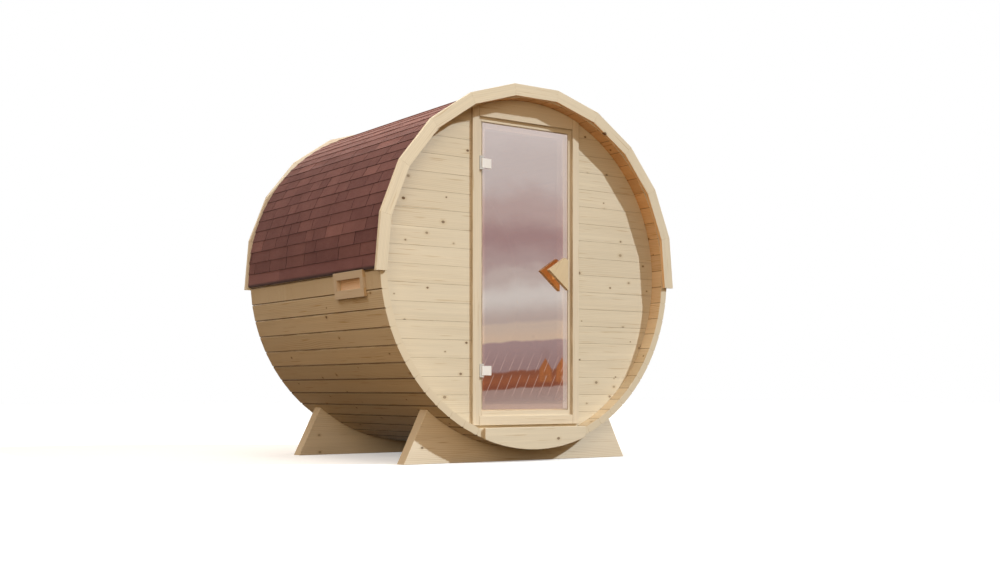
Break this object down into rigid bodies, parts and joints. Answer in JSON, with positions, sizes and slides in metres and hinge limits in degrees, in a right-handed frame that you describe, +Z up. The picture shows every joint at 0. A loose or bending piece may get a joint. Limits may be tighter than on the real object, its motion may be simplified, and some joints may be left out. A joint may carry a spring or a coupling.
{
  "type": "barrel sauna",
  "caption": "Round sauna cabin of spruce staves on timber cradles, with a framed glass door, mitred end fascia, a shingled roof and a side vent.",
  "frame": {"origin": "on the ground, at the centre of the footprint, midway between the two ends of the barrel", "axes": "+Z up; the barrel's axis runs along Y, and the door faces -Y, with +X to the right when facing the door from outside"},
  "size_m": [2.0684, 1.63, 2.0994],
  "materials": {
    "stave_wood": "planed, untreated spruce",
    "wall_wood": "planed, untreated spruce boards",
    "fascia_wood": "planed, untreated spruce boards",
    "cradle_wood": "sawn and planed spruce",
    "frame_wood": "planed spruce",
    "vent_wood": "planed spruce",
    "floor_wood": "planed spruce slats",
    "handle_wood": "sanded pale hardwood",
    "shingles": "mineral-surfaced bitumen shingles, dull dark red",
    "door_glass": "bronze-tinted toughened glass",
    "white_metal": "satin white",
    "bolt_steel": "brushed"
  },
  "bodies": {
    "barrel": {"cradle_front": "cradle_wood", "cradle_rear": "cradle_wood", "staves_roof_right": "stave_wood", "staves_shoulder_right": "stave_wood", "staves_side_right": "stave_wood", "staves_belly_right": "stave_wood", "staves_belly_left": "stave_wood", "staves_side_left": "stave_wood", "staves_shoulder_left": "stave_wood", "staves_roof_left": "stave_wood", "front_wall_left": "wall_wood", "front_wall_right": "wall_wood", "front_wall_over_door": "wall_wood", "front_wall_under_door": "wall_wood", "rear_wall": "wall_wood", "front_fascia": "fascia_wood", "rear_fascia": "fascia_wood", "roofing_left": "shingles", "roofing_top": "shingles", "roofing_right": "shingles", "eave_strip_left": "shingles", "eave_strip_right": "shingles", "frame_left": "frame_wood", "frame_right": "frame_wood", "frame_head": "frame_wood", "frame_sill": "frame_wood", "casing_left": "fascia_wood", "casing_right": "fascia_wood", "casing_header": "fascia_wood", "casing_foot_board": "fascia_wood", "kick_board": "fascia_wood", "vent_frame": "vent_wood", "vent_panel": "vent_wood", "floor_bearers": "floor_wood", "floor_boards": "floor_wood", "hinge_leaf_upper": "bolt_steel", "hinge_leaf_lower": "bolt_steel"},
    "door": {"glass_door": "door_glass", "hinge_clamp_upper": "white_metal", "hinge_clamp_lower": "white_metal", "handle_outer": "handle_wood", "handle_inner": "handle_wood", "handle_bolts": "bolt_steel"}
  },
  "joints": [
    {"name": "door_swing", "type": "hinge", "parent": "barrel", "child": "door", "pos_m": [-0.307, -0.7185, 1.075], "axis": [0, 0, -1], "range_deg": [0, 110]}
  ]
}
